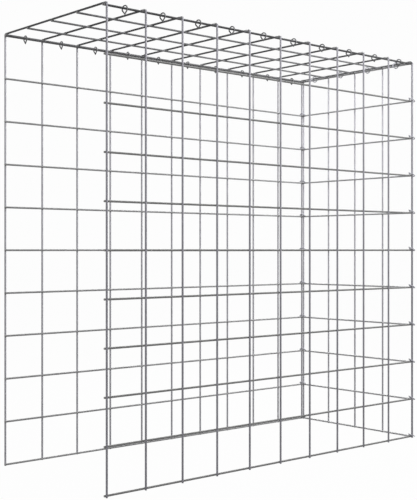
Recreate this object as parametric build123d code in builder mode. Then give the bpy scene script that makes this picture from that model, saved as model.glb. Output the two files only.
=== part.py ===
from build123d import *
import os
from math import asin, atan2, cos, degrees, hypot, pi, radians, sin, sqrt

# One bay of a gabion wall: an empty basket of four welded wire mats, tied with closed C-rings.
# X runs along the wall, the open end is at -X, the front is at -Y and Z is up.
# The origin is on the ground, under the middle of the bay.

# The mats: round wires welded into square meshes, drawn as bars of few sides with the same area
mesh_wire = 4.5
mesh_pitch = 100.0
cells_long = 10
cells_deep = 4
cells_high = 10
wire_sides = 6
weld_set_down = 0.7

# The cut ends of the wires: bare wire past the side of the last wire crossed, and past its axis
open_end_stub = 2.0
foot_stub = 1.3
trimmed_end = 1.2

# How the mats lie against each other
mat_gap = 0.25
lid_play = 0.4
end_top_rise = 1.0
bend_steps = 4

# The C-rings: outside width, drop from the arch's centre to the tip, wire, and how each kind hangs
ring_width = 19.0
ring_drop = 9.5
ring_wire = 3.0
ring_sides = 6
ring_joint = 0.4
ring_gap = 0.3
arch_steps = 9
arch_droop = 10.0
edge_ring_turn = 6.0
end_ring_turn = 23.0
end_ring_tilt = 30.0
corner_ring_turn = 24.0
corner_ring_tilt = 30.0
foot_ring_tilt = 20.0
leg_rest = 0.4

os.makedirs("parts", exist_ok=True)


# The wires as bars of few sides

def corner_radius_of(diameter, sides):
    """The corner radius of a bar that has the area of a round wire."""
    return diameter / 2 * sqrt(2 * pi / (sides * sin(2 * pi / sides)))


wire_corner = corner_radius_of(mesh_wire, wire_sides)
wire_flat = wire_corner * cos(pi / wire_sides)
wire_touch = wire_corner + wire_flat + mat_gap
ring_corner = corner_radius_of(ring_wire, ring_sides)
weld_step = mesh_wire - weld_set_down

# The rings in their own plane: a round arch above, straight legs to the tip below
arch_radius = (ring_width - ring_wire) / 2
wire_room = ring_corner + wire_corner + ring_gap
pair_half = weld_step / sqrt(2)


def seat_depth(half_spacing, turn, lean):
    """How far up the arch the middle of two wires sits, in a ring turned from the pair and leaning."""
    side_room = arch_radius - wire_room
    end_room = arch_radius * cos(radians(lean)) - wire_room
    across = half_spacing * cos(radians(turn))
    along = half_spacing * sin(radians(turn))
    return end_room * sqrt(1 - (across / side_room) ** 2) - along


# Where the wires run
length = cells_long * mesh_pitch
depth = cells_deep * mesh_pitch
front_y = -depth / 2
back_y = depth / 2
foot_z = wire_flat + foot_stub
levels = [foot_z + mesh_pitch * row for row in range(cells_high + 1)]
top_z = levels[-1]

# The bay reaches from the stubs at the open end to the rings on the far corners
corner_out_x = cos(radians(45 - corner_ring_turn))
corner_out_y = sin(radians(45 - corner_ring_turn))


def corner_reach_of(lean):
    """How far a corner ring that leans by so many degrees reaches past the end mat's level wires."""
    centre = weld_step / 2 - seat_depth(pair_half, corner_ring_turn, lean) * corner_out_x
    spread = arch_radius * hypot(corner_out_y, corner_out_x * cos(radians(lean)))
    return centre + spread + ring_wire / 2


corner_reach = max(corner_reach_of(corner_ring_tilt), corner_reach_of(foot_ring_tilt))
open_reach = wire_flat + open_end_stub
open_x = -(length + corner_reach - open_reach) / 2
end_x = open_x + length
uprights = [open_x + mesh_pitch * column for column in range(cells_long + 1)]
end_lines = [front_y + mesh_pitch * column for column in range(cells_deep + 1)]

# The lid lies on the top wires of the walls, its long wires hanging between them
lid_cross_z = top_z + wire_touch
lid_long_z = lid_cross_z - weld_step
lid_inset = wire_corner + wire_flat + lid_play
lid_end_x = end_x - wire_corner - mat_gap
last_cross_x = lid_end_x - trimmed_end
end_top_z = top_z + end_top_rise

# The lid's cross wires bend down round the walls' top wires and meet the uprights at a mitre
bend = asin(weld_step / wire_touch)
bend_foot_z = top_z + wire_touch * cos(bend)


def mitre(wall_y, outward):
    """The plane where a cross wire's bent end meets the upright, facing down the upright."""
    return Plane(origin=(0, wall_y + outward * weld_step, bend_foot_z),
                 z_dir=(0, outward * cos(bend), -1 - sin(bend)))


# The front and back mats: uprights outside, level wires inside, sheared at a slant at the far corner

def wall_mat(wall_y, outward):
    """A long wall mat, its level wires on wall_y and its uprights on the outward side of them."""
    with BuildPart() as mat:
        with BuildSketch(Plane.XY):
            with Locations(*[(x, wall_y + outward * weld_step) for x in uprights]):
                RegularPolygon(radius=wire_corner, side_count=wire_sides)
        extrude(amount=lid_cross_z)
        split(bisect_by=mitre(wall_y, outward).offset(mat_gap / 2), keep=Keep.TOP)
        with BuildSketch(Plane.YZ.offset(open_x - open_reach)):
            with Locations(*[(wall_y, z) for z in levels]):
                RegularPolygon(radius=wire_corner, side_count=wire_sides)
        extrude(amount=open_reach + length + wire_corner)
        slant = Plane(origin=(end_x - mat_gap / 2, wall_y, 0), z_dir=(1, -outward, 0))
        split(bisect_by=slant, keep=Keep.BOTTOM)
    return mat


front_panel = wall_mat(front_y, -1)
front_panel.part.label = "front_panel"
export_step(front_panel.part, "parts/front_panel.step")

back_panel = wall_mat(back_y, 1)
back_panel.part.label = "back_panel"
export_step(back_panel.part, "parts/back_panel.step")

# The end mat: uprights outside, level wires between the front and back mats, the top one a little up
with BuildPart() as end_panel:
    with BuildSketch(Plane.XY):
        with Locations(*[(end_x + weld_step, y) for y in end_lines]):
            RegularPolygon(radius=wire_corner, side_count=wire_sides)
    extrude(amount=end_top_z + wire_flat + foot_stub)
    with BuildSketch(Plane.XZ.offset(-back_y - wire_corner)):
        with Locations(*[(end_x, z) for z in levels[:-1] + [end_top_z]]):
            RegularPolygon(radius=wire_corner, side_count=wire_sides)
    extrude(amount=depth + 2 * wire_corner)
    for wall_y, outward in [(front_y, -1), (back_y, 1)]:
        slant = Plane(origin=(end_x + mat_gap / 2, wall_y, 0), z_dir=(1, -outward, 0))
        split(bisect_by=slant, keep=Keep.TOP)
end_panel.part.label = "end_panel"
export_step(end_panel.part, "parts/end_panel.step")

# One cross wire of the lid: straight over both walls' top wires, then bent down to the mitres


def bend_point(wall_y, outward, angle):
    """A point of the cross wire's centre line, its angle measured from the top of the bend."""
    return (0, wall_y + outward * wire_touch * sin(angle), top_z + wire_touch * cos(angle))


def bend_line(wall_y, outward):
    """The centre line of one bent end, from the top of the bend to a little past the mitre."""
    points = [bend_point(wall_y, outward, bend * step / bend_steps) for step in range(bend_steps + 1)]
    foot = Vector(*points[-1])
    return points + [foot + Vector(0, outward * cos(bend), -sin(bend)) * wire_corner]


with BuildPart() as cross_wire:
    with BuildLine() as cross_line:
        Polyline(*reversed(bend_line(front_y, -1)), *bend_line(back_y, 1))
    with BuildSketch(Plane(origin=cross_line.line @ 0, x_dir=(1, 0, 0), z_dir=cross_line.line % 0)):
        RegularPolygon(radius=wire_corner, side_count=wire_sides)
    sweep(transition=Transition.RIGHT)
    for wall_y, outward in [(front_y, -1), (back_y, 1)]:
        split(bisect_by=mitre(wall_y, outward).offset(-mat_gap / 2), keep=Keep.BOTTOM)

# The lid: long wires below, one beside each wall's top wire, and the cross wires above them
lid_lines = [front_y + lid_inset] + end_lines[1:-1] + [back_y - lid_inset]
with BuildPart() as lid_panel:
    with BuildSketch(Plane.YZ.offset(open_x - open_reach)):
        with Locations(*[(y, lid_long_z) for y in lid_lines]):
            RegularPolygon(radius=wire_corner, side_count=wire_sides, rotation=90)
    extrude(amount=lid_end_x - open_x + open_reach)
    with Locations(*[(x, 0, 0) for x in uprights[:-1] + [last_cross_x]]):
        add(cross_wire.part)
lid_panel.part.label = "lid_panel"
export_step(lid_panel.part, "parts/lid_panel.step")


# One closed ring: a wire bent over an arch, down two straight legs, its ends meeting at the tip

def arch_point(angle):
    """A point of the arch's centre line, its angle measured from the ring's right-hand side."""
    return (arch_radius * cos(radians(angle)), arch_radius * sin(radians(angle)))


arch_step = (180 + 2 * arch_droop) / arch_steps
arch_points = [arch_point(-arch_droop + arch_step * step) for step in range(arch_steps + 1)]
tip = (0, -ring_drop)

with BuildPart() as closed_ring:
    with BuildLine() as ring_line:
        Polyline(tip, *arch_points, close=True)
    with BuildSketch(Plane(origin=ring_line.line @ 0.5, z_dir=ring_line.line % 0.5)):
        RegularPolygon(radius=ring_corner, side_count=ring_sides)
    sweep(transition=Transition.RIGHT)
    with Locations(tip):
        Box(ring_joint, ring_drop, 2 * ring_wire, mode=Mode.SUBTRACT)


def seat_rings(name, seats):
    """Puts a ring in each seat, a plane whose Y points to the arch, and writes each as its own piece."""
    for number, seat in enumerate(seats, start=1):
        with BuildPart() as seated_ring:
            with Locations(seat):
                add(closed_ring.part)
        seated_ring.part.label = f"{name}_{number:02d}"
        export_step(seated_ring.part, f"parts/{name}_{number:02d}.step")


def ring_seat(centre, side, arch):
    """The plane of a ring from its centre, the way to its right-hand side and the way to its arch."""
    return Plane(origin=centre, x_dir=side, z_dir=Vector(*side).cross(Vector(*arch)))


# Rings over the long edges: each hangs from the lid's outer wire, half-way along a mesh
edge_rise = lid_long_z - top_z
edge_half = hypot(lid_inset, edge_rise) / 2
edge_seat = seat_depth(edge_half, degrees(atan2(edge_rise, lid_inset)), 0)
edge_ring_z = (top_z + lid_long_z) / 2 - edge_seat
turn = radians(edge_ring_turn)
mid_cells = [x + mesh_pitch / 2 for x in uprights[:-1]]
front_side = (sin(turn), -cos(turn), 0)
back_side = (-sin(turn), -cos(turn), 0)
front_seats = [ring_seat((x, front_y + lid_inset / 2, edge_ring_z), front_side, (0, 0, 1)) for x in mid_cells]
back_seats = [ring_seat((x, back_y - lid_inset / 2, edge_ring_z), back_side, (0, 0, 1)) for x in mid_cells]
seat_rings("front_lid_ring", front_seats)
seat_rings("back_lid_ring", back_seats)

# Rings over the end edge: they lean along it, their arches outward and a little up
lean = radians(end_ring_tilt)
end_run = end_x - last_cross_x
end_rise = lid_cross_z - end_top_z
end_seat = seat_depth(hypot(end_run, end_rise) / 2, end_ring_turn, end_ring_tilt)
end_out_angle = atan2(end_run, end_rise) - radians(end_ring_turn)
end_out = Vector(cos(end_out_angle), 0, sin(end_out_angle))
end_seats = []
for y in end_lines[:-1]:
    pair = Vector((last_cross_x + end_x) / 2, y + mesh_pitch / 2, (lid_cross_z + end_top_z) / 2)
    arch_way = end_out * cos(lean) - Vector(0, 1, 0) * sin(lean)
    end_seats.append(ring_seat(pair - end_out * end_seat, (end_out.Z, 0, -end_out.X), arch_way))
seat_rings("end_lid_ring", end_seats)


# Rings round the corner uprights: arches outward and down, the far legs on the end mat's level wires

def corner_seats(wall_y, outward):
    """A seat for each level under the top, the lowest ring lying flatter so that it clears the ground."""
    out = Vector(corner_out_x, outward * corner_out_y, 0)
    side = (corner_out_y, -outward * corner_out_x, 0)
    seats = []
    for level in levels[:-1]:
        ring_tilt = foot_ring_tilt if level == foot_z else corner_ring_tilt
        lean = radians(ring_tilt)
        on_wires = (wire_flat + ring_corner + ring_gap) / cos(lean)
        rise = on_wires - leg_rest * ring_drop * sin(lean)
        pair = Vector(end_x + weld_step / 2, wall_y + outward * weld_step / 2, level + rise)
        arch_way = out * cos(lean) - Vector(0, 0, 1) * sin(lean)
        centre = pair - out * seat_depth(pair_half, corner_ring_turn, ring_tilt)
        seats.append(ring_seat(centre, side, arch_way))
    return seats


seat_rings("front_corner_ring", corner_seats(front_y, -1))
seat_rings("back_corner_ring", corner_seats(back_y, 1))
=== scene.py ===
import random
from math import asin, atan2, cos, hypot, pi, radians, sin, sqrt

import bpy
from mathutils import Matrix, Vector


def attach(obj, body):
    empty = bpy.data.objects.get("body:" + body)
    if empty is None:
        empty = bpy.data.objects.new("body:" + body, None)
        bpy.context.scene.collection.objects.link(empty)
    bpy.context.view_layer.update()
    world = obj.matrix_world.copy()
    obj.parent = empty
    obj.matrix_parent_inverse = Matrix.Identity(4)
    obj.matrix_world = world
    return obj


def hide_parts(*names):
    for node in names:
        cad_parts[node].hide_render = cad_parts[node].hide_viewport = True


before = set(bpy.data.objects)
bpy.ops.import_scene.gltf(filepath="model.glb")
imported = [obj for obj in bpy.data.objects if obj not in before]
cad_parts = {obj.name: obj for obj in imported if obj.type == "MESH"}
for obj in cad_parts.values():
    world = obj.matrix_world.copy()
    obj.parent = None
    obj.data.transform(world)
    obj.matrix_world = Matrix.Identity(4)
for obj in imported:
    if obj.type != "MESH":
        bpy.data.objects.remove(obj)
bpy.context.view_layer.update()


# The camera: level, at half the basket's height, off the front corner of the open end.
# It looks across the bay, so that the front and back mats run away to the right.

camera_turn = radians(41.112)
camera_place = (-1.6933, -1.8821, 0.505)
camera_data = bpy.data.cameras.new("camera")
camera_data.sensor_width = 36.0
camera_data.lens = 72.55
camera_data.shift_y = -0.0009
camera = bpy.data.objects.new("camera", camera_data)
camera.location = camera_place
camera.rotation_euler = (radians(90.0), 0.0, -camera_turn)
bpy.context.scene.collection.objects.link(camera)
bpy.context.scene.camera = camera
bpy.context.scene.view_settings.view_transform = "Standard"


# The studio: a white floor that keeps a faint shadow, white all round, and soft lamps. Most stand
# above the basket and at its far end, so the wires are darker near the ground and the open end.

studio_white = (0.982, 0.982, 0.982, 1.0)
fill_tint = (0.96, 0.97, 1.0, 1.0)
fill_level = 0.01
floor_half = 400.0
floor_grey = (0.25, 0.25, 0.25, 1.0)
floor_glow = 1.01
floor_glow_share = 0.97


def seen_ray(nodes, links):
    """1 for rays from the camera and for rays that metal or glass sends on, else 0."""
    path = nodes.new("ShaderNodeLightPath")
    seen = path.outputs["Is Camera Ray"]
    for output in ("Is Glossy Ray", "Is Transmission Ray"):
        either = nodes.new("ShaderNodeMath")
        either.operation = "MAXIMUM"
        links.new(seen, either.inputs[0])
        links.new(path.outputs[output], either.inputs[1])
        seen = either.outputs[0]
    return seen


world = bpy.data.worlds.new("studio")
bpy.context.scene.world = world
world.use_nodes = True
sky = world.node_tree
sky.nodes.clear()
around = sky.nodes.new("ShaderNodeBackground")
around.inputs["Color"].default_value = studio_white
around.inputs["Strength"].default_value = 1.0
soft_fill = sky.nodes.new("ShaderNodeBackground")
soft_fill.inputs["Color"].default_value = fill_tint
soft_fill.inputs["Strength"].default_value = fill_level
pick = sky.nodes.new("ShaderNodeMixShader")
sky.links.new(seen_ray(sky.nodes, sky.links), pick.inputs[0])
sky.links.new(soft_fill.outputs[0], pick.inputs[1])
sky.links.new(around.outputs[0], pick.inputs[2])
sky.links.new(pick.outputs[0], sky.nodes.new("ShaderNodeOutputWorld").inputs[0])

floor_mesh = bpy.data.meshes.new("floor")
corners = [(-floor_half, -floor_half, 0), (floor_half, -floor_half, 0),
           (floor_half, floor_half, 0), (-floor_half, floor_half, 0)]
floor_mesh.from_pydata(corners, [], [(0, 1, 2, 3)])
floor = bpy.data.objects.new("floor", floor_mesh)
bpy.context.scene.collection.objects.link(floor)
floor_paint = bpy.data.materials.new("floor_paint")
floor_paint.use_nodes = True
paint = floor_paint.node_tree
paint.nodes.clear()
glow = paint.nodes.new("ShaderNodeEmission")
glow.inputs["Color"].default_value = (1.0, 1.0, 1.0, 1.0)
glow.inputs["Strength"].default_value = floor_glow
matt = paint.nodes.new("ShaderNodeBsdfDiffuse")
matt.inputs["Color"].default_value = floor_grey
glow_share = paint.nodes.new("ShaderNodeMath")
glow_share.operation = "MULTIPLY"
glow_share.inputs[1].default_value = floor_glow_share
paint.links.new(seen_ray(paint.nodes, paint.links), glow_share.inputs[0])
cover = paint.nodes.new("ShaderNodeMixShader")
paint.links.new(glow_share.outputs[0], cover.inputs[0])
paint.links.new(matt.outputs[0], cover.inputs[1])
paint.links.new(glow.outputs[0], cover.inputs[2])
paint.links.new(cover.outputs[0], paint.nodes.new("ShaderNodeOutputMaterial").inputs[0])
floor_mesh.materials.append(floor_paint)


def area_lamp(name, place, aim, size, power):
    """A square soft white lamp that faces the point aim, unseen by the camera."""
    lamp_data = bpy.data.lights.new(name, "AREA")
    lamp_data.size = size
    lamp_data.energy = power
    lamp = bpy.data.objects.new(name, lamp_data)
    lamp.location = place
    lamp.visible_camera = False
    lamp.rotation_euler = (Vector(aim) - Vector(place)).to_track_quat("-Z", "Y").to_euler()
    bpy.context.scene.collection.objects.link(lamp)


area_lamp("far_end_lamp", (3.0, -1.4, 1.6), (0.1, 0.0, 0.5), 1.6, 40.0)
area_lamp("high_lamp", (0.2, -0.6, 3.2), (0.1, 0.0, 0.5), 1.6, 30.0)
area_lamp("side_lamp", (-2.6, -2.6, 1.8), (0.1, 0.0, 0.6), 1.6, 38.0)
area_lamp("front_lamp", (0.1, -1.0, 1.6), (0.1, 0.0, 0.7), 0.8, 6.5)
area_lamp("front_end_lamp", (0.9, -1.0, 1.6), (0.4, 0.0, 0.7), 0.8, 3.0)
area_lamp("back_lamp", (0.3, 0.9, 1.6), (0.2, 0.1, 0.6), 0.8, 9.0)
area_lamp("back_end_lamp", (1.2, 0.7, 1.4), (0.4, 0.1, 0.6), 0.8, 6.5)
area_lamp("end_lamp", (1.4, 0.1, 0.7), (0.4, 0.1, 0.5), 0.8, 1.5)


# The front mat: 11 uprights outside and 11 level wires inside, 4.5 mm round steel wire with a
# zinc coat, welded at every crossing, where each wire is pressed 0.7 mm into the other. The wires
# are sheared to length, the level ones at a slant where the end mat meets them.

mm = 0.001
wire_round = 2.25 * mm
wire_sides = 16
pitch = 100.0 * mm
weld_step = 3.8 * mm
first_x = -502.879 * mm
foot_z = 3.443 * mm
front_y = -200.0 * mm
back_y = 200.0 * mm
uprights_x = [first_x + pitch * column for column in range(11)]
levels_z = [foot_z + pitch * row for row in range(11)]
end_x = uprights_x[-1]
open_stub_x = -507.022 * mm
mat_gap = 0.25 * mm
wire_touch = 4.867 * mm
bend = asin(weld_step / wire_touch)
bend_foot_z = levels_z[-1] + wire_touch * cos(bend)
shear_round = 0.35 * mm
sharp_from = radians(48.0)
coat, cut_end_coat, weld_coat, painted_light_coat, edge_shadow_coat, long_painted_shade_coat = range(6)


def start_mesh():
    """Empty lists for a piece of many wires: places, faces, each face's finish and the wires' run."""
    return {"places": [], "faces": [], "finish": [], "run": []}


def add_wire(made, path, radius, sides, finish=coat, cut_start=None, cut_end=None, shift=0.0):
    """A round wire along a path, its ends rounded a little by the shear, or cut by a slanted plane.

    A cut is a point and a direction. The run holds how far along and where around the wire each
    point is, for the draw marks, moved on by shift so that no two wires have the same marks."""
    base = len(made["places"])
    points = [Vector(p) for p in path]
    ways = []
    for number, point in enumerate(points):
        before = points[max(number - 1, 0)]
        after = points[min(number + 1, len(points) - 1)]
        ways.append((after - before).normalized())
    side = ways[0].orthogonal().normalized()
    rings = []
    travelled = 0.0
    for number, point in enumerate(points):
        if number:
            travelled += (point - points[number - 1]).length
            side = (side - ways[number] * side.dot(ways[number])).normalized()
        rings.append((point, ways[number], side.copy(), radius, travelled))
    if cut_start is None:
        point, way, across, full, at = rings[0]
        rings[0] = (point + way * shear_round, way, across, full, at + shear_round)
        rings.insert(0, (point, way, across, full - shear_round, at))
    if cut_end is None:
        point, way, across, full, at = rings[-1]
        rings[-1] = (point - way * shear_round, way, across, full, at - shear_round)
        rings.append((point, way, across, full - shear_round, at))
    for number, (point, way, across, reach, at) in enumerate(rings):
        up = way.cross(across)
        cut = cut_start if number == 0 else cut_end if number == len(rings) - 1 else None
        for step in range(sides):
            angle = 2 * pi * step / sides
            place = point + (across * cos(angle) + up * sin(angle)) * reach
            if cut is not None:
                on, facing = cut
                place = place + way * ((on - place).dot(facing) / way.dot(facing))
            made["places"].append(place)
            made["run"].append((at + shift, radius * cos(angle), radius * sin(angle) + shift))
    for number in range(len(rings) - 1):
        for step in range(sides):
            a = base + number * sides + step
            b = base + number * sides + (step + 1) % sides
            made["faces"].append((a, b, b + sides, a + sides))
            made["finish"].append(finish)
    last = base + (len(rings) - 1) * sides
    made["faces"].append(tuple(base + step for step in reversed(range(sides))))
    made["faces"].append(tuple(last + step for step in range(sides)))
    made["finish"] += [cut_end_coat, cut_end_coat]


def add_weld(made, place, normal, along, chance, finish=weld_coat):
    """The bead that the weld pushes out between two crossed wires: a low cushion, never quite even."""
    base = len(made["places"])
    normal = Vector(normal).normalized()
    along = Vector(along).normalized()
    across = normal.cross(along)
    wide = weld_reach * chance.uniform(*weld_spread)
    deep = weld_reach * chance.uniform(*weld_spread)
    thick = weld_thick * chance.uniform(*weld_swell)
    stray = along * chance.uniform(-1, 1) + across * chance.uniform(-1, 1)
    centre = Vector(place) + stray * weld_stray
    belts, spokes = 5, 12
    for belt in range(1, belts):
        lift = pi * belt / belts
        for spoke in range(spokes):
            angle = 2 * pi * spoke / spokes
            ripple = 1 + weld_ripple * chance.uniform(-1, 1)
            flat = sin(lift) * ripple
            made["places"].append(centre + along * (wide * flat * cos(angle))
                                  + across * (deep * flat * sin(angle)) + normal * (thick * cos(lift)))
            made["run"].append((place[0] * 3 + place[2], wide * cos(angle),
                                deep * sin(angle) + place[1]))
    for belt in range(belts - 2):
        for spoke in range(spokes):
            a = base + belt * spokes + spoke
            b = base + belt * spokes + (spoke + 1) % spokes
            made["faces"].append((b, a, a + spokes, b + spokes))
            made["finish"].append(finish)
    last = base + (belts - 2) * spokes
    made["faces"].append(tuple(base + spoke for spoke in range(spokes)))
    made["faces"].append(tuple(last + spoke for spoke in reversed(range(spokes))))
    made["finish"] += [finish, finish]


def finish_piece(name, made, finishes, nodes):
    """Turns the lists into one smooth piece that stands for its node and moves with the basket."""
    mesh = bpy.data.meshes.new(name)
    mesh.from_pydata([tuple(place) for place in made["places"]], [], made["faces"])
    run = mesh.attributes.new("run", "FLOAT_VECTOR", "POINT")
    run.data.foreach_set("vector", [value for vector in made["run"] for value in vector])
    for material in finishes:
        mesh.materials.append(material)
    mesh.polygons.foreach_set("material_index", made["finish"])
    mesh.polygons.foreach_set("use_smooth", [True] * len(made["faces"]))
    mesh.set_sharp_from_angle(angle=sharp_from)
    mesh.update()
    piece = bpy.data.objects.new(name, mesh)
    bpy.context.scene.collection.objects.link(piece)
    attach(piece, "root")
    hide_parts(*nodes)


def zinc_material(name, dark, light, metal, streak, mottle, rough_low, rough_high, dent):
    """A zinc coat: fine draw marks along the wire, a mottled bloom, and a dull patch here and there.

    streak is the marks' share of the tone, mottle the patches' share of the rest."""
    material = bpy.data.materials.new(name)
    material.use_nodes = True
    tree = material.node_tree
    tree.nodes.clear()
    shader = tree.nodes.new("ShaderNodeBsdfPrincipled")
    shader.inputs["Metallic"].default_value = metal
    shader.inputs["Specular IOR Level"].default_value = zinc_gloss
    tree.links.new(shader.outputs[0], tree.nodes.new("ShaderNodeOutputMaterial").inputs[0])

    run = tree.nodes.new("ShaderNodeAttribute")
    run.attribute_name = "run"
    place = tree.nodes.new("ShaderNodeTexCoord")

    def noise(source, stretch, scale, detail):
        """An uneven grey between 0 and 1, stretched along the first axis where that number is small."""
        mapping = tree.nodes.new("ShaderNodeMapping")
        mapping.inputs["Scale"].default_value = stretch
        tree.links.new(source, mapping.inputs["Vector"])
        texture = tree.nodes.new("ShaderNodeTexNoise")
        texture.inputs["Scale"].default_value = scale
        texture.inputs["Detail"].default_value = detail
        tree.links.new(mapping.outputs[0], texture.inputs["Vector"])
        return texture.outputs["Fac"]

    marks = noise(run.outputs["Vector"], marks_stretch, marks_scale, 2.0)
    bloom = noise(place.outputs["Object"], (1.0, 1.0, 1.0), bloom_scale, 3.0)
    patch = noise(place.outputs["Object"], (1.0, 1.0, 1.0), patch_scale, 2.0)

    def blend(first, second, share):
        """The two greys mixed, with the given share of the second."""
        mix = tree.nodes.new("ShaderNodeMix")
        mix.inputs["Factor"].default_value = share
        tree.links.new(first, mix.inputs["A"])
        tree.links.new(second, mix.inputs["B"])
        return mix.outputs["Result"]

    tone = blend(blend(bloom, patch, mottle), marks, streak)
    ramp = tree.nodes.new("ShaderNodeValToRGB")
    ramp.color_ramp.elements[0].position = tone_from
    ramp.color_ramp.elements[0].color = (*dark, 1.0)
    ramp.color_ramp.elements[1].position = tone_to
    ramp.color_ramp.elements[1].color = (*light, 1.0)
    tree.links.new(tone, ramp.inputs[0])
    tree.links.new(ramp.outputs["Color"], shader.inputs["Base Color"])

    rough = tree.nodes.new("ShaderNodeMapRange")
    rough.inputs["From Min"].default_value = rough_from
    rough.inputs["From Max"].default_value = rough_to
    rough.inputs["To Min"].default_value = rough_high
    rough.inputs["To Max"].default_value = rough_low
    tree.links.new(tone, rough.inputs["Value"])
    tree.links.new(rough.outputs[0], shader.inputs["Roughness"])

    bump = tree.nodes.new("ShaderNodeBump")
    bump.inputs["Strength"].default_value = dent_strength
    bump.inputs["Distance"].default_value = dent
    tree.links.new(blend(bloom, marks, 0.5), bump.inputs["Height"])
    tree.links.new(bump.outputs[0], shader.inputs["Normal"])
    return material


def wire_zinc(name, dark, light):
    """The drawn mesh wire's coat between a dark and a light tone: nearly matt, hardly metallic."""
    return zinc_material(name, dark, light, 0.02, 0.35, 0.4, 0.45, 0.65, 0.08 * mm)


zinc_gloss = 0.15
marks_stretch = (0.03, 1.0, 1.0)
marks_scale = 1600.0
bloom_scale = 420.0
patch_scale = 22.0
tone_from, tone_to = 0.32, 0.68
rough_from, rough_to = 0.3, 0.7
dent_strength = 0.6
sheared_steel = zinc_material("sheared_steel", (0.26, 0.25, 0.24), (0.42, 0.41, 0.40),
                              0.7, 0.3, 0.3, 0.35, 0.5, 0.10 * mm)
weld_zinc = zinc_material("weld_zinc", (0.26, 0.258, 0.255), (0.42, 0.42, 0.42),
                          0.02, 0.2, 0.3, 0.5, 0.7, 0.15 * mm)
# Painted shade and shadow: a near-black copy of the wire's coat, for the front wall's top wire and the
# lid's front outer wire, standing for the shade and shadow under the lid's edge.
edge_painted_shadow_zinc = zinc_material("edge_painted_shadow_zinc", (0.075, 0.075, 0.078), (0.14, 0.14, 0.145),
                          0.02, 0.35, 0.4, 0.5, 0.7, 0.08 * mm)
# Painted shade: the front mat's level and upright coats are darker copies of the back mat's, standing
# for the weaker light on the front mat.
front_level_painted_shade_zinc = wire_zinc("front_level_painted_shade_zinc", (0.235, 0.235, 0.233), (0.35, 0.35, 0.347))
front_upright_painted_shade_zinc = wire_zinc("front_upright_painted_shade_zinc", (0.41, 0.405, 0.445), (0.57, 0.56, 0.62))
weld_reach = 2.7 * mm
weld_thick = 1.05 * mm
weld_stray = 0.25 * mm
weld_spread = (0.9, 1.12)
weld_swell = (0.85, 1.15)
weld_ripple = 0.06


def mitre(x, wall_y, outward, apart):
    """Where an upright's top meets the bent end of the lid's cross wire: a point and the way down."""
    facing = Vector((0.0, outward * cos(bend), -1.0 - sin(bend))).normalized()
    return Vector((x, wall_y + outward * weld_step, bend_foot_z)) + facing * apart, facing


def wall_mat(name, node, wall_y, outward, finishes, chance):
    """A long wall mat: level wires on wall_y, uprights outside them, slanted ends at the far corner."""
    made = start_mesh()
    upright_y = wall_y + outward * weld_step
    for number, x in enumerate(uprights_x):
        add_wire(made, [(x, upright_y, 0.0), (x, upright_y, bend_foot_z)], wire_round, wire_sides,
                 finish=painted_light_coat, cut_end=mitre(x, wall_y, outward, mat_gap / 2),
                 shift=upright_shift * number)
    slant = (Vector((end_x - mat_gap / 2, wall_y, 0.0)), Vector((1.0, -outward, 0.0)))
    # The top level wire takes the edge slot: a painted shadow in the front mat, the plain level coat in
    # the back mat.
    for number, z in enumerate(levels_z):
        add_wire(made, [(open_stub_x, wall_y, z), (end_x, wall_y, z)], wire_round, wire_sides,
                 finish=edge_shadow_coat if z == levels_z[-1] else coat, cut_end=slant,
                 shift=level_shift_from + level_shift * number)
    weld_y = wall_y + outward * weld_step / 2
    for x in uprights_x:
        for z in levels_z:
            add_weld(made, (x, weld_y, z), (0, 1, 0), (0, 0, 1), chance)
    finish_piece(name, made, finishes, [node])


upright_shift = 0.37
level_shift_from, level_shift = 5.1, 0.41
front_finishes = [front_level_painted_shade_zinc, sheared_steel, weld_zinc, front_upright_painted_shade_zinc, edge_painted_shadow_zinc]
wall_mat("front_mat", "front_panel", front_y, -1, front_finishes, random.Random(11))


# The back mat: the front mat's twin, turned round so that its uprights are outside too. Its
# wires have lighter coats than the front mat's: painted light. Its top wire is as light as the others.

level_zinc = wire_zinc("level_zinc", (0.325, 0.325, 0.33), (0.485, 0.485, 0.49))
# Painted light and shade: the uprights' coat, here and in the end mat, is a lighter, lilac-tinted copy
# of the level coat, standing for light on the uprights and shade under the level wires.
upright_painted_light_zinc = wire_zinc("upright_painted_light_zinc", (0.59, 0.585, 0.625), (0.80, 0.79, 0.85))
back_finishes = [level_zinc, sheared_steel, weld_zinc, upright_painted_light_zinc, level_zinc]
wall_mat("back_mat", "back_panel", back_y, 1, back_finishes, random.Random(12))


# The end mat: five uprights outside and 11 level wires that run between the wall mats.
# Its top wire was rolled a little high, and lies close under the lid's last cross wire.

end_uprights_y = [front_y + pitch * column for column in range(5)]
end_rise = 1.0 * mm
end_upright_top = 1007.886 * mm
end_levels = levels_z[:-1] + [levels_z[-1] + end_rise]
end_upright_shift = 0.53
end_level_shift_from, end_level_shift = 7.3, 0.47
# Painted light: the end mat's level coat is a lighter copy of the back mat's, standing for the stronger
# light at the far end; the lid's bent ends and outer welds take it too.
end_level_painted_light_zinc = wire_zinc("end_level_painted_light_zinc", (0.47, 0.47, 0.475), (0.67, 0.67, 0.68))
end_finishes = [end_level_painted_light_zinc, sheared_steel, weld_zinc, upright_painted_light_zinc]
end_made = start_mesh()
end_chance = random.Random(13)
for number, y in enumerate(end_uprights_y):
    add_wire(end_made, [(end_x + weld_step, y, 0.0), (end_x + weld_step, y, end_upright_top)],
             wire_round, wire_sides, finish=painted_light_coat, shift=end_upright_shift * number)
front_slant = (Vector((end_x + mat_gap / 2, front_y, 0.0)), Vector((1.0, 1.0, 0.0)))
back_slant = (Vector((end_x + mat_gap / 2, back_y, 0.0)), Vector((1.0, -1.0, 0.0)))
for number, z in enumerate(end_levels):
    add_wire(end_made, [(end_x, front_y, z), (end_x, back_y, z)], wire_round, wire_sides,
             cut_start=front_slant, cut_end=back_slant,
             shift=end_level_shift_from + end_level_shift * number)
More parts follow.
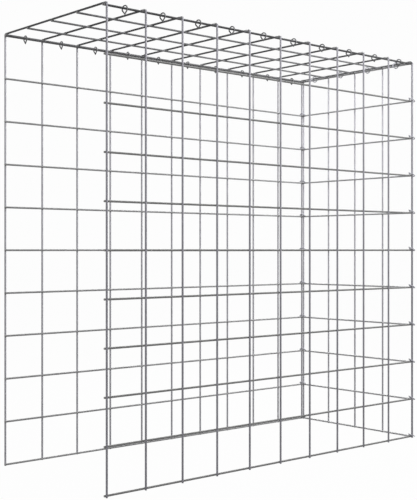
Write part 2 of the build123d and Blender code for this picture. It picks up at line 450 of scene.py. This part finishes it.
for y in end_uprights_y:
    for z in end_levels:
        add_weld(end_made, (end_x + weld_step / 2, y, z), (1, 0, 0), (0, 0, 1), end_chance)
finish_piece("end_mat", end_made, end_finishes, ["end_panel"])


# The lid: five long wires below and 11 cross wires on them, of the same wire, coloured darker as
# painted shade. It lies on the walls' top wires, and its cross wires are bent down over them, so
# that each one runs on into an upright. Their bent ends are coloured light as painted light.

lid_inset = 5.017 * mm
lid_cross_z = levels_z[-1] + wire_touch
lid_long_z = lid_cross_z - weld_step
lid_end_back = 2.724 * mm
trimmed_end = 1.2 * mm
lid_end_x = end_x - lid_end_back
last_cross_x = lid_end_x - trimmed_end
lid_long_y = [front_y + lid_inset] + end_uprights_y[1:-1] + [back_y - lid_inset]
lid_cross_x = uprights_x[:-1] + [last_cross_x]
bend_steps = 8
# Where the cross wires' straight part ends and their painted light begins.
painted_light_from = 193.0 * mm
long_shift = 0.59
cross_shift_from, cross_shift = 9.1, 0.61


def bend_line(x, wall_y, outward):
    """The centre line of a cross wire's bent end, from the top of the bend down to the mitre."""
    angles = [bend * step / bend_steps for step in range(bend_steps + 1)]
    return [(x, wall_y + outward * wire_touch * sin(angle), levels_z[-1] + wire_touch * cos(angle))
            for angle in angles]


# Painted shade: darker copies of the wire's coat, the cross wires darker than the long wires, standing
# for the lid's undersides that face away from the lamps.
lid_cross_painted_shade_zinc = wire_zinc("lid_cross_painted_shade_zinc", (0.12, 0.12, 0.123), (0.185, 0.185, 0.19))
lid_long_painted_shade_zinc = wire_zinc("lid_long_painted_shade_zinc", (0.19, 0.19, 0.195), (0.29, 0.29, 0.30))
lid_finishes = [lid_cross_painted_shade_zinc, sheared_steel, weld_zinc, end_level_painted_light_zinc, edge_painted_shadow_zinc, lid_long_painted_shade_zinc]
lid_made = start_mesh()
lid_chance = random.Random(14)
# The lid's front outer long wire takes the edge slot's painted shadow; the other long wires take the
# lid's long coat.
for number, y in enumerate(lid_long_y):
    add_wire(lid_made, [(open_stub_x, y, lid_long_z), (lid_end_x, y, lid_long_z)],
             wire_round, wire_sides, finish=long_painted_shade_coat if number else edge_shadow_coat,
             shift=long_shift * number)
# Painted light: the last cross wire takes the lighter long-wire coat, not the cross wires' darker one.
for number, x in enumerate(lid_cross_x):
    straight = [(x, -painted_light_from, lid_cross_z), (x, painted_light_from, lid_cross_z)]
    add_wire(lid_made, list(reversed(bend_line(x, front_y, -1))) + straight + bend_line(x, back_y, 1),
             wire_round, wire_sides, finish=long_painted_shade_coat if x == last_cross_x else coat,
             cut_start=mitre(x, front_y, -1, -mat_gap / 2), cut_end=mitre(x, back_y, 1, -mat_gap / 2),
             shift=cross_shift_from + cross_shift * number)
# Painted light: the welds on the two outer long wires take the light end-mat coat, the others the weld
# coat.
for x in lid_cross_x:
    for y in lid_long_y:
        add_weld(lid_made, (x, y, lid_long_z + weld_step / 2), (0, 0, 1), (1, 0, 0), lid_chance,
                 finish=painted_light_coat if y in (lid_long_y[0], lid_long_y[-1]) else weld_coat)
# Painted light: the faces of the cross wires' bent ends, past the straight part, take the light end-mat
# coat in place of the lid's dark one, though they lie in shade.
for number, face in enumerate(lid_made["faces"]):
    middle_y = sum(lid_made["places"][corner][1] for corner in face) / len(face)
    if lid_made["finish"][number] == coat and abs(middle_y) > painted_light_from:
        lid_made["finish"][number] = painted_light_coat
finish_piece("lid_mat", lid_made, lid_finishes, ["lid_panel"])


# The rings over the long edges: 3 mm zinc-coated spring wire, bent to an open C, dropped over the
# lid's outer wire and the wall's top wire, and closed with pliers until its cut ends meet below.

ring_round = 1.45 * mm
ring_sides = 12
arch_radius = 8.0 * mm
ring_drop = 9.5 * mm
arch_droop = 10.0
arch_steps = 22
half_slit = 0.2 * mm
edge_ring_turn = radians(6.0)

# Painted shade: the long edges' rings have a dark copy of the ring wire's coat.
ring_painted_shade_zinc = zinc_material("ring_painted_shade_zinc", (0.16, 0.16, 0.165), (0.30, 0.30, 0.31),
                          0.1, 0.3, 0.3, 0.32, 0.5, 0.05 * mm)
ring_cut = zinc_material("ring_cut", (0.30, 0.29, 0.28), (0.45, 0.44, 0.43),
                         0.8, 0.3, 0.3, 0.3, 0.45, 0.05 * mm)


def ring_piece(node, centre, side, arch, zinc):
    """One closed ring: its cut ends meet at the tip, and the arch is on the centre's other side."""
    made = start_mesh()
    centre = Vector(centre)
    side = Vector(side).normalized()
    arch = Vector(arch).normalized()
    flat = []
    for step in range(arch_steps + 1):
        angle = radians(-arch_droop + (180 + 2 * arch_droop) * step / arch_steps)
        flat.append((arch_radius * cos(angle), arch_radius * sin(angle)))
    right_tip = (half_slit, -ring_drop)
    left_tip = (-half_slit, -ring_drop)
    line = [right_tip] + flat + [left_tip]
    path = [centre + side * u + arch * v for u, v in line]
    cut_start = (centre + side * half_slit, side)
    cut_end = (centre - side * half_slit, side)
    add_wire(made, path, ring_round, ring_sides, cut_start=cut_start, cut_end=cut_end,
             shift=centre[0] * 7 + centre[1] * 3 + centre[2])
    finish_piece(node + "_zinc", made, [zinc, ring_cut], [node])


wire_room = 4.423 * mm


def seat_depth(half_spacing, turn, lean):
    """How far up the arch the middle of two wires sits, in a ring turned from the pair and leaning."""
    across = half_spacing * cos(turn) / (arch_radius - wire_room)
    return (arch_radius * cos(lean) - wire_room) * sqrt(1 - across ** 2) - half_spacing * sin(turn)


edge_rise = lid_long_z - levels_z[-1]
edge_seat = seat_depth(hypot(lid_inset, edge_rise) / 2, atan2(edge_rise, lid_inset), 0.0)
edge_ring_z = (levels_z[-1] + lid_long_z) / 2 - edge_seat
for number, x in enumerate([x + pitch / 2 for x in uprights_x[:-1]], start=1):
    ring_piece(f"front_lid_ring_{number:02d}", (x, front_y + lid_inset / 2, edge_ring_z),
               (sin(edge_ring_turn), -cos(edge_ring_turn), 0), (0, 0, 1), ring_painted_shade_zinc)
    ring_piece(f"back_lid_ring_{number:02d}", (x, back_y - lid_inset / 2, edge_ring_z),
               (-sin(edge_ring_turn), -cos(edge_ring_turn), 0), (0, 0, 1), ring_painted_shade_zinc)


# The rings over the end edge: the same rings, closed round the lid's last cross wire and the end
# mat's top wire. They lean along the edge, their arches outward and a little up.

# Painted light: the end and corner rings have a light, lilac-tinted copy of the same ring wire's coat.
ring_painted_light_zinc = zinc_material("ring_painted_light_zinc", (0.43, 0.43, 0.47), (0.62, 0.62, 0.67),
                                 0.1, 0.3, 0.3, 0.32, 0.5, 0.05 * mm)
end_lean = radians(30.0)
end_turn = radians(23.0)
end_run = end_x - last_cross_x
end_drop = lid_cross_z - levels_z[-1] - end_rise
end_out_angle = atan2(end_run, end_drop) - end_turn
end_out = Vector((cos(end_out_angle), 0.0, sin(end_out_angle)))
end_seat = seat_depth(hypot(end_run, end_drop) / 2, end_turn, end_lean)
for number, y in enumerate(end_uprights_y[:-1], start=1):
    pair = Vector(((last_cross_x + end_x) / 2, y + pitch / 2, lid_cross_z - end_drop / 2))
    arch_way = end_out * cos(end_lean) - Vector((0, 1, 0)) * sin(end_lean)
    ring_piece(f"end_lid_ring_{number:02d}", pair - end_out * end_seat,
               (end_out.z, 0, -end_out.x), arch_way, ring_painted_light_zinc)


# The rings round the two far corners: one at each level below the top, closed round both mats'
# corner uprights. They slope outward and down on the end mat's level wires, the lowest ones
# flatter, so that they stay clear of the ground.

corner_turn = radians(24.0)
corner_lean = radians(30.0)
foot_lean = radians(20.0)
level_wire_reach = 2.143 * mm
ring_wire_reach = 1.649 * mm
ring_gap = 0.3 * mm
leg_rest = 0.4
for name, wall_y, outward in (("front_corner_ring", front_y, -1), ("back_corner_ring", back_y, 1)):
    out = Vector((cos(pi / 4 - corner_turn), outward * sin(pi / 4 - corner_turn), 0.0))
    for number, level in enumerate(levels_z[:-1], start=1):
        lean = foot_lean if number == 1 else corner_lean
        reach = level_wire_reach + ring_wire_reach + ring_gap
        rise = reach / cos(lean) - leg_rest * ring_drop * sin(lean)
        pair = Vector((end_x + weld_step / 2, wall_y + outward * weld_step / 2, level + rise))
        arch_way = out * cos(lean) - Vector((0, 0, 1)) * sin(lean)
        seat = seat_depth(weld_step / sqrt(2), corner_turn, lean)
        ring_piece(f"{name}_{number:02d}", pair - out * seat,
                   (outward * out.y, -outward * out.x, 0), arch_way, ring_painted_light_zinc)

bpy.context.view_layer.update()
